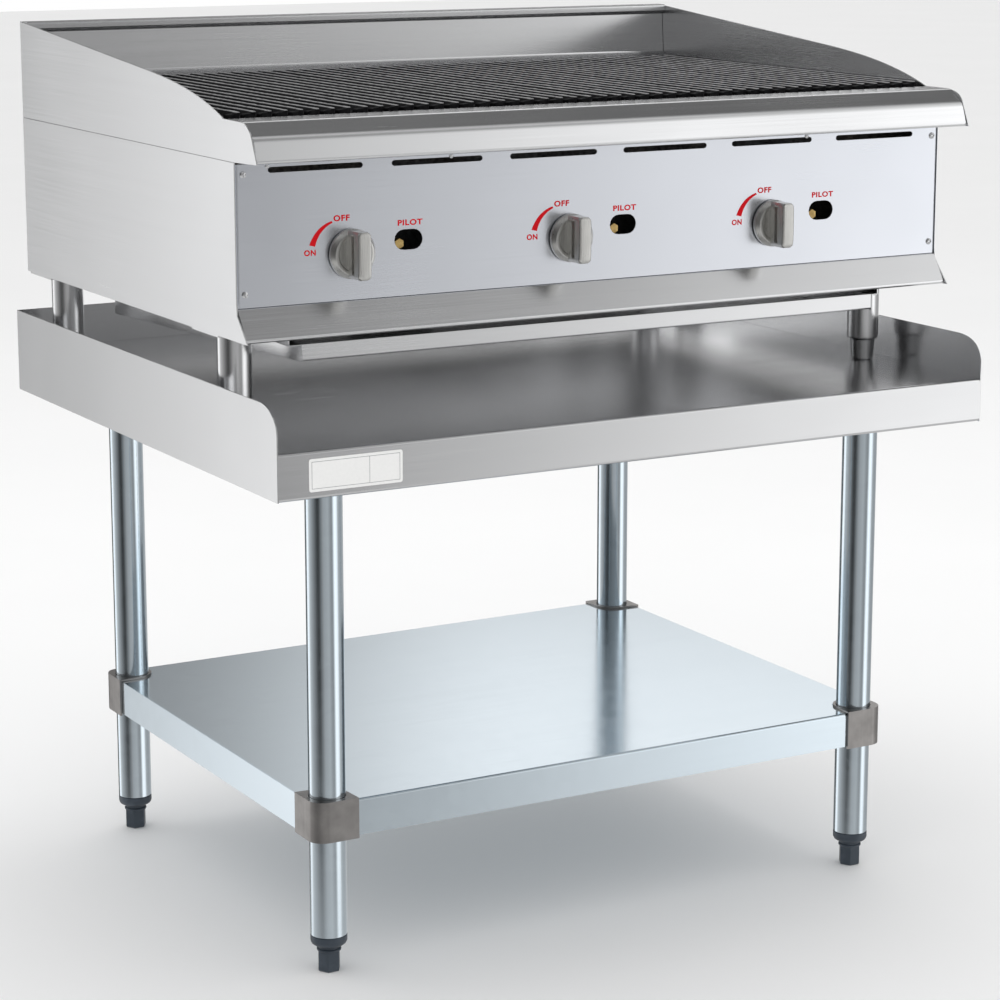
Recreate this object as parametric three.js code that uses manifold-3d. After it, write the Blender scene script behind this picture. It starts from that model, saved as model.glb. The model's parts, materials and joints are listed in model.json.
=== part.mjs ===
// Gas charbroiler grill on an equipment stand.
// Millimetres, +Z up, +X to the right, the front faces -Y, and the origin lies on the floor under
// the middle of the stand. Each named mesh is one closed piece of the real object.

import * as THREE from 'three';
import { mergeVertices } from 'three/addons/utils/BufferGeometryUtils.js';
import Module from 'manifold-3d';

const wasm = await Module();
wasm.setup();

// ---------------------------------------------------------------- driving dimensions

const WIDTH = 914.4;          // outside width of both the grill and the stand (36 inches)
const HALF = WIDTH / 2;
const SHEET = 1.5;            // body sheet
const THIN_SHEET = 1.2;       // undershelf, tray and floor sheet
const GAP = 0.3;              // clearance between pieces that touch

const stand = {
  halfDepth: 381,
  deckTop: 613,
  apronBottom: 562,
  upturnTop: 662,
  legX: 356.5,
  legY: 281,
  legRadius: 20.65,           // 1 5/8 inch tube
  legBottom: 43,
  channelHeight: 26,
  shelfHalfWidth: 381,
  shelfHalfDepth: 304.8,
  shelfTop: 201,
  shelfEdge: 41.5,
};

const grill = {
  front: -286,                // outer face of the control panel
  back: 336.3,                // outer face of the back panel
  bottom: 717,
  skirtTop: 751.6,
  skirtTip: -311.7,           // the skirt flares forward to here at the bottom
  joint: 905,                 // lower cabinet below, splash guards above
  splashTop: 1021,
  grateTop: 955,
  grateDepth: 24,
  legX: 420,
  legFrontY: -195.5,
  legBackY: 301,
  legRadius: 19.05,           // 1 1/2 inch tube
};

const knob = { firstX: -322.9, spacing: 270.9, z: 802, stemRadius: 4 };
const pilot = { offsetX: 69.3, z: 812.6, halfLength: 17, halfHeight: 11 };
const rail = {
  back: -260.6,               // the flat ledge runs forward from here
  top: 948.7,
  nose: [-308, -330.5, -342], // how far forward the ledge, the nose and the sloped face reach
  noseHeight: 933.5,
  lipEnd: -291,               // the lip under the face turns back to here
};
const tray = {
  halfWidth: 376,
  lip: 10,
  front: -272.6,
  back: 256.6,
  top: 706,
  depthFront: 19,
  depthBack: 38,
};
const radiantLedge = 861;     // height of the ledges that the radiants rest on
const burner = { spacing: 300, halfWidth: 81, front: -195, back: 262, radius: 14, wall: 1.5 };
const baffle = { frontY: -235, rearY: 306, shelf: 20 };
const pipe = { y: -262, z: 770, radius: 10.65, wall: 2.7, sideX: 425, end: 372 };

const UNITS = [-1, 0, 1];     // the three burners with their knobs, valves and radiants
const SIDES = [['left', -1], ['right', 1]];
const ENDS = [['front', -1], ['back', 1]];

const nearInnerWall = HALF - SHEET - GAP;

// ---------------------------------------------------------------- materials

function metal(color, roughness, metalness = 1) {
  return new THREE.MeshStandardMaterial({ color, roughness, metalness });
}

const stainless = () => metal(0xd4d5d7, 0.32);
const panelSteel = () => metal(0xc6c9d0, 0.36);
const galvanised = () => metal(0xb9c3cb, 0.4);
const clampSteel = () => metal(0x6f6c69, 0.45);
const castIron = () => metal(0x1c1c1d, 0.75, 0.6);
const darkSteel = () => metal(0x77736e, 0.5);
const brass = () => metal(0xc9a544, 0.35);
const knobSteel = () => metal(0x8f8f8c, 0.35);
const footPlastic = () => metal(0x3a424c, 0.5, 0);

// ---------------------------------------------------------------- solids

const WELD = 1e-4;            // vertices closer than this are one vertex
const SMALLEST_EDGE = 0.02;   // shorter edges are taken out of a finished piece

// A closed three.js geometry as a solid that can be joined and cut.
function toSolid(geometry) {
  const bare = new THREE.BufferGeometry();
  bare.setAttribute('position', geometry.getAttribute('position'));
  if (geometry.index) bare.setIndex(geometry.index);
  const merged = mergeVertices(bare, WELD);
  const corners = merged.index.array;
  const triangles = [];
  for (let i = 0; i < corners.length; i += 3) {
    const [a, b, c] = [corners[i], corners[i + 1], corners[i + 2]];
    if (a !== b && b !== c && c !== a) triangles.push(a, b, c);
  }
  return new wasm.Manifold(new wasm.Mesh({
    numProp: 3,
    vertProperties: new Float32Array(merged.getAttribute('position').array),
    triVerts: new Uint32Array(triangles),
  }));
}

// The surface of a solid, without the slivers and needless points that joins and cuts leave.
function toGeometry(solid) {
  const data = solid.asOriginal().simplify(SMALLEST_EDGE).getMesh();
  const geometry = new THREE.BufferGeometry();
  geometry.setAttribute('position', new THREE.BufferAttribute(data.vertProperties, 3));
  geometry.setIndex(new THREE.BufferAttribute(data.triVerts, 1));
  geometry.computeVertexNormals();
  return geometry;
}

function join(...solids) {
  return solids.flat().reduce((whole, next) => whole.add(next));
}

function cut(solid, ...tools) {
  return tools.flat().reduce((rest, tool) => rest.subtract(tool), solid);
}

// The same solid for the opposite side, or for the opposite end.
function mirrored(solid, acrossX, acrossY) {
  const once = acrossX ? solid.mirror([1, 0, 0]) : solid;
  return acrossY ? once.mirror([0, 1, 0]) : once;
}

function shapeOf(points) {
  if (!Array.isArray(points)) return points;
  return new THREE.Shape(points.map(([u, v]) => new THREE.Vector2(u, v)));
}

function extrude(outline, length, curveSegments = 6) {
  return new THREE.ExtrudeGeometry(shapeOf(outline), {
    depth: length, steps: 1, bevelEnabled: false, curveSegments,
  });
}

// An outline in (x, y), from z0 up to z1.
function prismZ(outline, z0, z1) {
  return toSolid(extrude(outline, z1 - z0).translate(0, 0, z0));
}

// An outline in (x, z), from y0 back to y1.
function prismY(outline, y0, y1) {
  return toSolid(extrude(outline, y1 - y0).rotateX(Math.PI / 2).translate(0, y1, 0));
}

// An outline in (y, z), from x0 across to x1.
function prismX(outline, x0, x1) {
  const turn = new THREE.Matrix4().makeBasis(
    new THREE.Vector3(0, 1, 0), new THREE.Vector3(0, 0, 1), new THREE.Vector3(1, 0, 0));
  return toSolid(extrude(outline, x1 - x0).applyMatrix4(turn).translate(x0, 0, 0));
}

function block([x0, x1], [y0, y1], [z0, z1]) {
  const geometry = new THREE.BoxGeometry(x1 - x0, y1 - y0, z1 - z0);
  return toSolid(geometry.translate((x0 + x1) / 2, (y0 + y1) / 2, (z0 + z1) / 2));
}

// A round bar between two points; with few sides it is a hexagon and the like.
function rod(from, to, radius, sides = 12, endRadius = radius) {
  const start = new THREE.Vector3(...from);
  const along = new THREE.Vector3(...to).sub(start);
  const geometry = new THREE.CylinderGeometry(endRadius, radius, along.length(), sides);
  geometry.translate(0, along.length() / 2, 0);
  const turn = new THREE.Quaternion().setFromUnitVectors(
    new THREE.Vector3(0, 1, 0), along.clone().normalize());
  return toSolid(geometry.applyQuaternion(turn).translate(...start.toArray()));
}

// A solid turned about the Z axis, from a profile of [radius, height] that starts and ends on it.
function turned(profile, sides = 16) {
  const points = profile.map(([r, z]) => new THREE.Vector2(r, z));
  return toSolid(new THREE.LatheGeometry(points, sides).rotateX(Math.PI / 2));
}

// The outline of a hole with round ends, in (u, v).
function slotOutline(u, v, halfLength, halfHeight, stepsPerEnd = 4) {
  const straight = halfLength - halfHeight;
  return [1, -1].flatMap((end) => Array.from({ length: stepsPerEnd + 1 }, (unused, step) => {
    const angle = Math.PI * (step / stepsPerEnd - end / 2);
    return [u + end * straight + halfHeight * Math.cos(angle), v + halfHeight * Math.sin(angle)];
  }));
}

// The section of a folded sheet: a mid-line of corners, each bent to a radius, given a thickness.
function foldedSheet(corners, thickness, bendRadius = 3, bendSteps = 3) {
  const line = corners.map(([u, v]) => new THREE.Vector2(u, v));
  const stations = [];
  const headingOf = (i) => line[i + 1].clone().sub(line[i]).normalize();
  stations.push([line[0], headingOf(0).angle()]);
  for (let i = 1; i < line.length - 1; i += 1) {
    const before = headingOf(i - 1);
    const turn = Math.atan2(before.cross(headingOf(i)), before.dot(headingOf(i)));
    const setback = bendRadius * Math.tan(Math.abs(turn) / 2);
    const start = line[i].clone().addScaledVector(before, -setback);
    const side = Math.sign(turn);
    const toCentre = new THREE.Vector2(-before.y, before.x).multiplyScalar(side * bendRadius);
    const centre = start.clone().add(toCentre);
    for (let step = 0; step <= bendSteps; step += 1) {
      const heading = before.angle() + turn * step / bendSteps;
      const outward = new THREE.Vector2(Math.sin(heading), -Math.cos(heading));
      stations.push([centre.clone().addScaledVector(outward, side * bendRadius), heading]);
    }
  }
  stations.push([line[line.length - 1], headingOf(line.length - 2).angle()]);
  const faceAt = (offset) => stations.map(([point, heading]) => [
    point.x - Math.sin(heading) * offset, point.y + Math.cos(heading) * offset]);
  return [...faceAt(thickness / 2), ...faceAt(-thickness / 2).reverse()];
}

const object = new THREE.Group();

// One finished piece of the object.
function piece(name, material, solid, parent = object) {
  const mesh = new THREE.Mesh(toGeometry(solid), material);
  mesh.name = name;
  parent.add(mesh);
  return mesh;
}

// ---------------------------------------------------------------- stand

// The raised side wall: flush from the apron's foot to the top, its front corner rounded off.
function standSideWall(x0, x1) {
  const { halfDepth, apronBottom, upturnTop } = stand;
  const cornerLength = 42;
  const cornerDrop = 30;
  const shape = new THREE.Shape();
  shape.moveTo(-halfDepth, apronBottom);
  shape.lineTo(halfDepth, apronBottom);
  shape.lineTo(halfDepth, upturnTop);
  shape.lineTo(-halfDepth + cornerLength, upturnTop);
  shape.absellipse(-halfDepth + cornerLength, upturnTop - cornerDrop, cornerLength, cornerDrop,
    Math.PI / 2, Math.PI, false);
  shape.closePath();
  return prismX(shape, x0, x1);
}

function standTop() {
  const { halfDepth, deckTop, apronBottom, upturnTop } = stand;
  const hem = 14;
  const mid = SHEET / 2;
  const deckAndApron = prismX(foldedSheet([
    [halfDepth - mid, deckTop - mid],
    [-halfDepth + mid, deckTop - mid],
    [-halfDepth + mid, apronBottom + mid],
    [-halfDepth + hem, apronBottom + mid],
  ], SHEET), -HALF + mid, HALF - mid);
  const hemStrip = block([HALF - hem, HALF - mid], [-halfDepth + hem, halfDepth - mid],
    [apronBottom, apronBottom + SHEET]);
  const rightSide = join(standSideWall(HALF - SHEET, HALF), hemStrip);
  const sides = SIDES.map(([, side]) => mirrored(rightSide, side < 0, false));
  const back = block([-HALF + mid, HALF - mid], [halfDepth - SHEET, halfDepth], [apronBottom, upturnTop]);
  return join(deckAndApron, sides, back);
}

// A hat-section stiffener under the deck, with a socket for the leg at each end.
function hatChannel(y) {
  const { deckTop, channelHeight, legX, legRadius } = stand;
  const top = deckTop - SHEET - GAP;
  const flange = 45;
  const web = 26;
  const channelHalfLength = HALF - 20;
  const socketWall = 3;
  const socketDepth = 40;
  const mid = SHEET / 2;
  const hat = prismX(foldedSheet([
    [y - flange, top - mid],
    [y - web, top - mid],
    [y - web, top - channelHeight + mid],
    [y + web, top - channelHeight + mid],
    [y + web, top - mid],
    [y + flange, top - mid],
  ], SHEET, 2), -channelHalfLength, channelHalfLength);
  const seat = top - channelHeight;
  const socket = cut(
    rod([legX, y, seat - socketDepth], [legX, y, seat + mid], legRadius + socketWall, 16),
    rod([legX, y, seat - socketDepth - 1], [legX, y, seat], legRadius + 4 * GAP, 16));
  return join(hat, SIDES.map(([, side]) => mirrored(socket, side < 0, false)));
}

function standLeg() {
  const { deckTop, channelHeight, legBottom, legRadius } = stand;
  const top = deckTop - SHEET - GAP - channelHeight - GAP;
  const outside = rod([0, 0, legBottom], [0, 0, top], legRadius, 20);
  const inside = rod([0, 0, legBottom - 1], [0, 0, top + 1], legRadius - SHEET, 20);
  return cut(outside, inside);
}

// The plastic foot: a domed collar under the tube, a neck, a hexagon and a plug inside the tube.
function bulletFoot() {
  const { legBottom, legRadius } = stand;
  const collarBottom = legBottom - GAP - 12;
  const plugTop = legBottom + 32;
  const neckBottom = 16;
  const neckRadius = 13;
  const hexRadius = 13.3;
  const plugRadius = legRadius - SHEET - 2 * GAP;
  const body = turned([
    [0, neckBottom],
    [neckRadius, neckBottom],
    [neckRadius, collarBottom],
    [legRadius - 2.5, collarBottom + 1],
    [legRadius, collarBottom + 4],
    [legRadius, legBottom - GAP],
    [plugRadius, legBottom - GAP],
    [plugRadius, plugTop],
    [0, plugTop],
  ]);
  return join(body, rod([0, 0, 0], [0, 0, neckBottom + 1], hexRadius, 6));
}

function undershelf() {
  const { shelfHalfWidth, shelfHalfDepth, shelfTop, shelfEdge, legX, legY, legRadius } = stand;
  const mid = THIN_SHEET / 2;
  const notch = legRadius + 5;
  const frontToBack = foldedSheet([
    [-shelfHalfDepth + mid, shelfTop - shelfEdge],
    [-shelfHalfDepth + mid, shelfTop - mid],
    [shelfHalfDepth - mid, shelfTop - mid],
    [shelfHalfDepth - mid, shelfTop - shelfEdge],
  ], THIN_SHEET);
  const shelf = prismX(frontToBack, -shelfHalfWidth + mid, shelfHalfWidth - mid);
  const rightEnd = block([shelfHalfWidth - THIN_SHEET, shelfHalfWidth],
    [-shelfHalfDepth + mid, shelfHalfDepth - mid], [shelfTop - shelfEdge, shelfTop - mid / 2]);
  const ends = SIDES.map(([, side]) => mirrored(rightEnd, side < 0, false));
  const reach = 40;           // past the shelf's corner
  const cornerNotch = join(
    rod([legX, legY, 0], [legX, legY, 2 * shelfTop], notch, 20),
    block([legX, legX + reach], [legY, legY + reach], [0, 2 * shelfTop]));
  const notches = SIDES.flatMap(([, side]) => ENDS.map(
    ([, end]) => mirrored(cornerNotch, side < 0, end < 0)));
  return cut(join(shelf, ends), notches);
}

// The corner clamp around a leg, drawn for the leg at the origin and the shelf towards +X and +Y:
// walls outside the shelf's edges, a rounded corner, a top plate, and a ring round the leg.
function cornerClamp() {
  const { shelfHalfWidth, shelfHalfDepth, shelfTop, shelfEdge, legX, legY, legRadius } = stand;
  const faceX = -(shelfHalfWidth - legX) - GAP;
  const faceY = -(shelfHalfDepth - legY) - GAP;
  const wall = 2.6;
  const cornerRadius = 18;
  const cornerSteps = 5;
  const wing = 26;
  const proud = 2.5;          // above and below the shelf's edge
  const heights = [shelfTop - shelfEdge - proud, shelfTop + proud];
  const roundedCorner = Array.from({ length: cornerSteps + 1 }, (unused, step) => {
    const angle = Math.PI * (1 + step / cornerSteps / 2);
    return [faceX - wall + cornerRadius * (1 + Math.cos(angle)),
      faceY - wall + cornerRadius * (1 + Math.sin(angle))];
  });
  const outside = [[faceX - wall, wing], ...roundedCorner, [wing, faceY - wall], [wing, faceY]];
  const walls = prismZ([...outside, [0, faceY], [0, 0], [faceX, 0], [faceX, wing]], ...heights);
  const topPlate = prismZ([...outside, [legRadius + 4, 0], [0, legRadius + 4], [faceX, wing]],
    shelfTop + GAP, heights[1]);
  const ring = rod([0, 0, heights[0]], [0, 0, heights[1]], legRadius + 4, 20);
  const hole = rod([0, 0, heights[0] - 1], [0, 0, heights[1] + 1], legRadius + 2 * GAP, 20);
  return cut(join(walls, topPlate, ring), hole);
}

function buildStand() {
  piece('stand_top', stainless(), standTop());
  piece('undershelf', galvanised(), undershelf());
  ENDS.forEach(([endName, end]) => {
    piece(`hat_channel_${endName}`, galvanised(), hatChannel(end * stand.legY));
    SIDES.forEach(([sideName, side]) => {
      const corner = new THREE.Group();
      corner.position.set(side * stand.legX, end * stand.legY, 0);
      object.add(corner);
      piece(`stand_leg_${endName}_${sideName}`, galvanised(), standLeg(), corner);
      piece(`bullet_foot_${endName}_${sideName}`, footPlastic(), bulletFoot(), corner);
      const clamp = mirrored(cornerClamp(), side > 0, end > 0);
      piece(`corner_clamp_${endName}_${sideName}`, clampSteel(), clamp, corner);
    });
  });
}

// ---------------------------------------------------------------- cabinet

// Side view of the lower cabinet: upright front, then a skirt that flares forward.
function cabinetOutline() {
  const { front, back, bottom, skirtTop, skirtTip, joint } = grill;
  const easeHeight = 7;       // the corner above the skirt is eased over this much
  return [
    [back, bottom],
    [back, joint - GAP / 2],
    [front, joint - GAP / 2],
    [front, skirtTop + easeHeight],
    [front - SHEET, skirtTop - easeHeight],
    [skirtTip, bottom],
  ];
}

// One side of the cabinet: a plate with a flange turned inwards along the bottom.
function sidePanel(side) {
  const { front, back, bottom } = grill;
  const mid = SHEET / 2;
  const flange = 16;
  const flangeStrip = prismY(foldedSheet([
    [side * (HALF - mid), bottom + 20],
    [side * (HALF - mid), bottom + mid],
    [side * (HALF - flange), bottom + mid],
  ], SHEET, 1.5), front + SHEET + GAP, back - SHEET - GAP);
  const [x0, x1] = side > 0 ? [HALF - SHEET, HALF] : [-HALF, SHEET - HALF];
  return join(prismX(cabinetOutline(), x0, x1), flangeStrip);
}

// A hole for the supply pipe through any upright sheet between two depths.
function pipeHole(y0, y1) {
  return rod([pipe.sideX, y0, pipe.z], [pipe.sideX, y1, pipe.z], pipe.radius + 3, 16);
}

function backPanel() {
  const { back, bottom, joint } = grill;
  const ventRows = [845, 870];
  const ventCount = 6;
  const ventPitch = 130;
  const plate = block([-nearInnerWall, nearInnerWall], [back - SHEET, back],
    [bottom + SHEET + GAP, joint - GAP / 2]);
  const [ventHalfLength, ventHalfHeight] = [45, 4];
  const vents = ventRows.flatMap((z) => Array.from({ length: ventCount }, (unused, i) => {
    const x = (i - (ventCount - 1) / 2) * ventPitch;
    return prismY(slotOutline(x, z, ventHalfLength, ventHalfHeight), back - 10, back + 10);
  }));
  return cut(plate, vents, pipeHole(back - 10, back + 10));
}

// The floor with its opening over the tray, and the runners that hang from it.
function cabinetFloor() {
  const { front, back, bottom } = grill;
  const z = bottom + SHEET + GAP;
  const openingX = 362;
  const openingY = 225;
  const plate = cut(
    block([-nearInnerWall, nearInnerWall], [front + SHEET + 2, back - SHEET - GAP],
      [z, z + THIN_SHEET]),
    block([-openingX, openingX], [-openingY, openingY], [z - 1, z + 3]));
  const runnerX = tray.halfWidth + tray.lip + 2;
  const runnerZ = tray.top - THIN_SHEET - GAP - THIN_SHEET / 2;
  const runners = SIDES.map(([, side]) => prismY(foldedSheet([
    [side * runnerX, z + THIN_SHEET / 2],
    [side * runnerX, runnerZ],
    [side * (tray.halfWidth + 2), runnerZ],
  ], THIN_SHEET, 1.5), tray.front + 6, tray.back));
  const stopTab = block([-60, 60], [tray.back + GAP, tray.back + GAP + THIN_SHEET],
    [tray.top - 10, z + 1]);
  return join(plate, runners, stopTab);
}

function frontSkirt() {
  const { front, bottom, skirtTop, skirtTip } = grill;
  const mid = SHEET / 2;
  return prismX(foldedSheet([
    [front + 18, skirtTop - mid],
    [front + mid, skirtTop - mid],
    [skirtTip + SHEET, bottom + mid],
    [skirtTip + 16, bottom + mid],
  ], SHEET, 2), -nearInnerWall, nearInnerWall);
}

// The control panel with its air slots, the stem holes and the pilot holes.
function controlPanel() {
  const { front, skirtTop, joint } = grill;
  const mid = SHEET / 2;
  const returnDepth = 18;
  const slotCount = 6;
  const slotPitch = 145.2;
  const slotHalfLength = 55.4;
  const slotHalfHeight = 3;
  const slotZ = 895.5;
  const cutDepth = [front - 5, front + 5];
  const sheet = prismZ(foldedSheet([
    [-nearInnerWall + mid, front + returnDepth],
    [-nearInnerWall + mid, front + mid],
    [nearInnerWall - mid, front + mid],
    [nearInnerWall - mid, front + returnDepth],
  ], SHEET, 2), skirtTop + GAP, joint - 2);
  const slots = Array.from({ length: slotCount }, (unused, i) => {
    const x = (i - (slotCount - 1) / 2) * slotPitch;
    return prismY(slotOutline(x, slotZ, slotHalfLength, slotHalfHeight), ...cutDepth);
  });
  const holes = UNITS.flatMap((unit) => {
    const x = knobX(unit);
    const pilotOutline = slotOutline(x + pilot.offsetX, pilot.z, pilot.halfLength, pilot.halfHeight, 8);
    return [
      rod([x, cutDepth[0], knob.z], [x, cutDepth[1], knob.z], knob.stemRadius + 2, 16),
      prismY(pilotOutline, ...cutDepth),
    ];
  });
  return cut(sheet, slots, holes);
}

// A wall of the fire box: it carries the grates on its top flange and the radiants on a ledge.
function fireBoxWall(y, inward) {
  const { bottom, grateTop, grateDepth } = grill;
  const mid = SHEET / 2;
  const foot = bottom + SHEET + GAP + THIN_SHEET + GAP;
  const top = grateTop - grateDepth - GAP;
  const ledge = 14;
  const wall = prismX(foldedSheet([
    [y + inward * baffle.shelf, foot + mid],
    [y, foot + mid],
    [y, top - mid],
    [y + inward * baffle.shelf, top - mid],
  ], SHEET, 2), -nearInnerWall, nearInnerWall);
  const ledgeHalfLength = 440;
  const ledgeY = [y, y + inward * ledge].sort((a, b) => a - b);
  return join(wall, block([-ledgeHalfLength, ledgeHalfLength], ledgeY,
    [radiantLedge - SHEET, radiantLedge]));
}

function frontBaffle() {
  const [before, behind] = [baffle.frontY - 10, baffle.frontY + 10];
  const burnerHoles = UNITS.map((unit) => rod(
    [knobX(unit), before, knob.z], [knobX(unit), behind, knob.z], burner.radius + 2, 16));
  return cut(fireBoxWall(baffle.frontY, 1), burnerHoles, pipeHole(before, behind));
}

function rearBaffle() {
  return cut(fireBoxWall(baffle.rearY, -1), pipeHole(baffle.rearY - 10, baffle.rearY + 10));
}

// Side view of a splash guard: it slopes down from the back, drops in a curve to the rail, and
// ends in the rail's own bull-nosed profile.
function splashOutline() {
  const { front, back, joint, splashTop } = grill;
  const slopeEnd = { y: -69, z: 985.7 };
  const [, noseFront, faceFoot] = rail.nose;
  const shape = new THREE.Shape();
  shape.moveTo(back, joint + GAP / 2);
  shape.lineTo(back, splashTop);
  shape.lineTo(slopeEnd.y, slopeEnd.z);
  shape.bezierCurveTo(slopeEnd.y - 75, slopeEnd.z - 7, rail.back + 55, rail.top + 20,
    rail.back, rail.top);
  shape.lineTo(-298, rail.top);
  shape.quadraticCurveTo(-322, rail.top, noseFront - 0.5, rail.noseHeight + 0.5);
  shape.lineTo(faceFoot - 1.3, joint + 2);
  shape.lineTo(front, joint + GAP / 2);
  shape.closePath();
  return shape;
}

// A double-walled back guard: up the outside, over the top with a lipped edge, and down inside
// to a step over the grates.
function backSplash() {
  const { back, joint, splashTop } = grill;
  const mid = SHEET / 2;
  const [outer, top] = [back - mid, splashTop - mid];
  const lip = outer - 19;
  const step = { y: outer - 29, top: 958, bottom: 948, foot: 934 };
  return prismX(foldedSheet([
    [outer, joint + GAP / 2],
    [outer, top],
    [lip, top],
    [lip, top - 8],
    [lip + 7, top - 11],
    [lip + 3, step.top],
    [step.y, step.bottom],
    [step.y, step.foot],
  ], SHEET, 2, 2), -nearInnerWall, nearInnerWall);
}

// The bull-nosed front rail between the side guards.
function frontRail() {
  const mid = SHEET / 2;
  const ledge = rail.top - SHEET * 0.72;
  const lip = grill.joint + 2 + mid;
  const [ledgeFront, noseFront, faceFoot] = rail.nose;
  return prismX(foldedSheet([
    [rail.back, ledge - 20],
    [rail.back, ledge],
    [ledgeFront, ledge],
    [noseFront, rail.noseHeight],
    [faceFoot, lip],
    [rail.lipEnd, lip],
  ], SHEET, 2.5), -nearInnerWall, nearInnerWall);
}

function buildCabinet() {
  SIDES.forEach(([name, side]) => {
    const [x0, x1] = side > 0 ? [HALF - SHEET, HALF] : [-HALF, SHEET - HALF];
    piece(`${name}_side_panel`, stainless(), sidePanel(side));
    piece(`${name}_splash_guard`, stainless(), prismX(splashOutline(), x0, x1));
  });
  piece('back_panel', stainless(), backPanel());
  piece('cabinet_floor', stainless(), cabinetFloor());
  piece('front_skirt', stainless(), frontSkirt());
  piece('control_panel', panelSteel(), controlPanel());
  piece('front_baffle', darkSteel(), frontBaffle());
  piece('rear_baffle', darkSteel(), rearBaffle());
  piece('back_splash_guard', stainless(), backSplash());
  piece('front_rail', stainless(), frontRail());
}

// ---------------------------------------------------------------- gas train

function knobX(unit) {
  return knob.firstX + (unit + 1) * knob.spacing;
}

// The supply pipe behind the panel; it runs along the right side to its threaded end at the back.
function gasManifold() {
  const run = (radius, start, end) => join(
    rod([start, pipe.y, pipe.z], [pipe.sideX + radius, pipe.y, pipe.z], radius, 8),
    rod([pipe.sideX, pipe.y, pipe.z], [pipe.sideX, end, pipe.z], radius, 8));
  const cap = rod([-405, pipe.y, pipe.z], [-385, pipe.y, pipe.z], pipe.radius + 2.5, 6);
  const endRing = rod([pipe.sideX, pipe.end - 24, pipe.z], [pipe.sideX, pipe.end, pipe.z],
    pipe.radius + 3, 8);
  const outside = join(run(pipe.radius, -400, pipe.end), cap, endRing);
  return cut(outside, run(pipe.radius - pipe.wall, -380, pipe.end + 1));
}

// A burner valve: body, stub down to the pipe, stem through the panel, and the jet behind.
function gasValve(x) {
  const bodyFront = -279;
  const bodyBack = -251;
  const stemEnd = -304;
  const jetEnd = -241;
  const [bodyRadius, stubRadius, jetRadius] = [12, 7, 5];
  return join(
    rod([x, bodyFront, knob.z], [x, bodyBack, knob.z], bodyRadius, 12),
    rod([x, pipe.y, pipe.z + pipe.radius + GAP], [x, pipe.y, knob.z], stubRadius, 8),
    rod([x, stemEnd, knob.z], [x, bodyFront + 1, knob.z], knob.stemRadius, 12),
    rod([x, bodyBack - 1, knob.z], [x, jetEnd, knob.z], jetRadius, 6));
}

// The small valve that sets the pilot flame, behind the lower left of the pilot hole.
function pilotValve(x) {
  const valveX = x - 8;
  const z = pilot.z - 5;
  const bodyFront = -280;
  const [bodyRadius, stubRadius] = [6, 3.5];
  return join(
    rod([valveX, bodyFront, z], [valveX, pipe.y + 4, z], bodyRadius, 6),
    rod([valveX, pipe.y, pipe.z + pipe.radius + GAP], [valveX, pipe.y, z], stubRadius, 8));
}

// A closed loop of tube with its mouth in line with the valve's jet.
function burnerTube(centre, mouthX) {
  const { halfWidth, front, back, radius, wall } = burner;
  const z = knob.z;
  const [left, right] = [centre - halfWidth, centre + halfWidth];
  const loop = (r, mouth) => join(
    rod([left - r, front, z], [right + r, front, z], r, 8),
    rod([left - r, back, z], [right + r, back, z], r, 8),
    rod([left, front, z], [left, back, z], r, 8),
    rod([right, front, z], [right, back, z], r, 8),
    rod([mouthX, mouth, z], [mouthX, front, z], r, 8));
  return cut(loop(radius, -246), loop(radius - wall, -248));
}

// The bent heat spreader above a burner: one ridge over each run of the loop.
function radiant(centre) {
  const valley = radiantLedge + GAP + SHEET;
  const ridge = valley + 36;
  const halfWidth = 138;
  const valleyHalf = 12;
  return prismY(foldedSheet([
    [centre - halfWidth, valley],
    [centre - burner.halfWidth, ridge],
    [centre - valleyHalf, valley],
    [centre + valleyHalf, valley],
    [centre + burner.halfWidth, ridge],
    [centre + halfWidth, valley],
  ], SHEET, 3), baffle.frontY + 4, baffle.rearY - 4);
}

// The control knob: a chamfered disc with a bar grip that is grooved on both sides.
function controlKnob() {
  const disc = turned([[0, 0], [27, 0], [27, 4], [22.5, 8.5], [19, 8.5], [18, 7.5], [0, 7.5]], 24);
  const [halfWidth, halfLength, proud] = [8, 25.5, 33];
  const corner = { x: halfWidth - 2.5, y: halfLength - 1.5 };
  const bar = prismZ([
    [-halfWidth, -corner.y], [-corner.x, -halfLength], [corner.x, -halfLength], [halfWidth, -corner.y],
    [halfWidth, corner.y], [corner.x, halfLength], [-corner.x, halfLength], [-halfWidth, corner.y],
  ], 5, proud);
  const groove = block([halfWidth - 1.8, halfWidth + 1], [-19, 21], [17, 23]);
  const grip = cut(bar, SIDES.map(([, side]) => mirrored(groove, side < 0, false)));
  const socket = rod([0, 0, -1], [0, 0, 18], knob.stemRadius + 1, 12);
  return cut(join(disc, grip), socket);
}

function buildGasTrain() {
  piece('gas_manifold', darkSteel(), gasManifold());
  UNITS.forEach((unit, i) => {
    const centre = unit * burner.spacing;
    const x = knobX(unit);
    piece(`gas_valve_${i + 1}`, brass(), gasValve(x));
    piece(`pilot_valve_${i + 1}`, brass(), pilotValve(x + pilot.offsetX));
    piece(`burner_${i + 1}`, darkSteel(), burnerTube(centre, x));
    piece(`radiant_${i + 1}`, darkSteel(), radiant(centre));
    const handle = piece(`knob_${i + 1}`, knobSteel(), controlKnob());
    handle.rotation.x = Math.PI / 2;
    handle.position.set(x, grill.front - 2, knob.z);
  });
}

// ---------------------------------------------------------------- grates, tray and legs

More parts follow.
